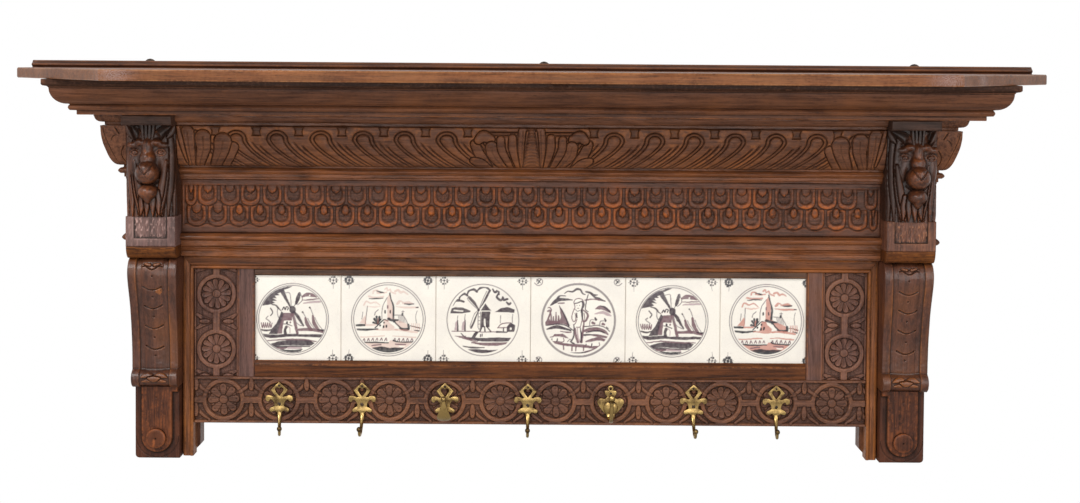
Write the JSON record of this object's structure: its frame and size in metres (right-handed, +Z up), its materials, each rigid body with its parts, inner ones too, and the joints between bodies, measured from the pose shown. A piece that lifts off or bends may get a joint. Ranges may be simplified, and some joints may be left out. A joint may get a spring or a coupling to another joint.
{
  "type": "coat rack",
  "caption": "Carved wooden wall coat rack: a hat shelf on lion consoles, a framed row of painted tiles and a carved rail that carries cast brass hooks.",
  "frame": {"origin": "on the wall plane, midway across the rack and midway up it", "axes": "+X to the viewer's right along the wall, +Y into the wall, +Z up"},
  "size_m": [1.4, 0.3, 0.543],
  "materials": {
    "carved_oak": "dark stained oak with worn wax, darker in the carving",
    "amber_oak": "amber brown oak with worn wax",
    "shelf_oak": "warm brown oak, satin",
    "tin_glaze": "glossy white tin glaze with purple brown painting",
    "lime_mortar": "matt lime mortar",
    "cast_brass": "aged cast brass, polished on the high places",
    "dark_iron": "dark oxidised iron"
  },
  "bodies": {
    "root": {"shelf_board": "shelf_oak", "shelf_back_rail": "shelf_oak", "hanger_left": "dark_iron", "hanger_middle": "dark_iron", "hanger_right": "dark_iron", "crown_front": "carved_oak", "crown_return_left": "carved_oak", "crown_return_right": "carved_oak", "bed_moulding_front": "carved_oak", "bed_moulding_return_left": "carved_oak", "bed_moulding_return_right": "carved_oak", "frieze_front": "carved_oak", "frieze_return_left": "carved_oak", "frieze_return_right": "carved_oak", "upper_moulding_front": "carved_oak", "upper_moulding_return_left": "carved_oak", "upper_moulding_return_right": "carved_oak", "lower_moulding_front": "carved_oak", "lower_moulding_return_left": "carved_oak", "lower_moulding_return_right": "carved_oak", "backboard": "carved_oak", "case_lower_rail": "carved_oak", "scale_panel": "carved_oak", "frieze_board": "carved_oak", "stile_board_left": "carved_oak", "stile_board_right": "carved_oak", "case_side_left": "carved_oak", "case_side_right": "carved_oak", "frame_band_top": "carved_oak", "stile_moulding_left": "carved_oak", "stile_moulding_right": "carved_oak", "tile_bed": "lime_mortar", "tile_1": "tin_glaze", "tile_2": "tin_glaze", "tile_3": "tin_glaze", "tile_4": "tin_glaze", "tile_5": "tin_glaze", "tile_6": "tin_glaze", "tile_frame_top": "amber_oak", "tile_frame_bottom": "amber_oak", "tile_frame_left": "amber_oak", "tile_frame_right": "amber_oak", "rosette_panel_left": "carved_oak", "rosette_panel_right": "carved_oak", "hook_rail": "carved_oak", "lower_block_left": "carved_oak", "lower_block_right": "carved_oak", "turned_disc_left": "carved_oak", "turned_disc_right": "carved_oak", "scroll_bracket_left": "carved_oak", "scroll_bracket_right": "carved_oak", "lion_console_left": "carved_oak", "lion_console_right": "carved_oak", "hook_1": "cast_brass", "hook_2": "cast_brass", "hook_3": "cast_brass", "hook_4": "cast_brass", "hook_5": "cast_brass", "hook_6": "cast_brass", "hook_7": "cast_brass"}
  },
  "joints": []
}
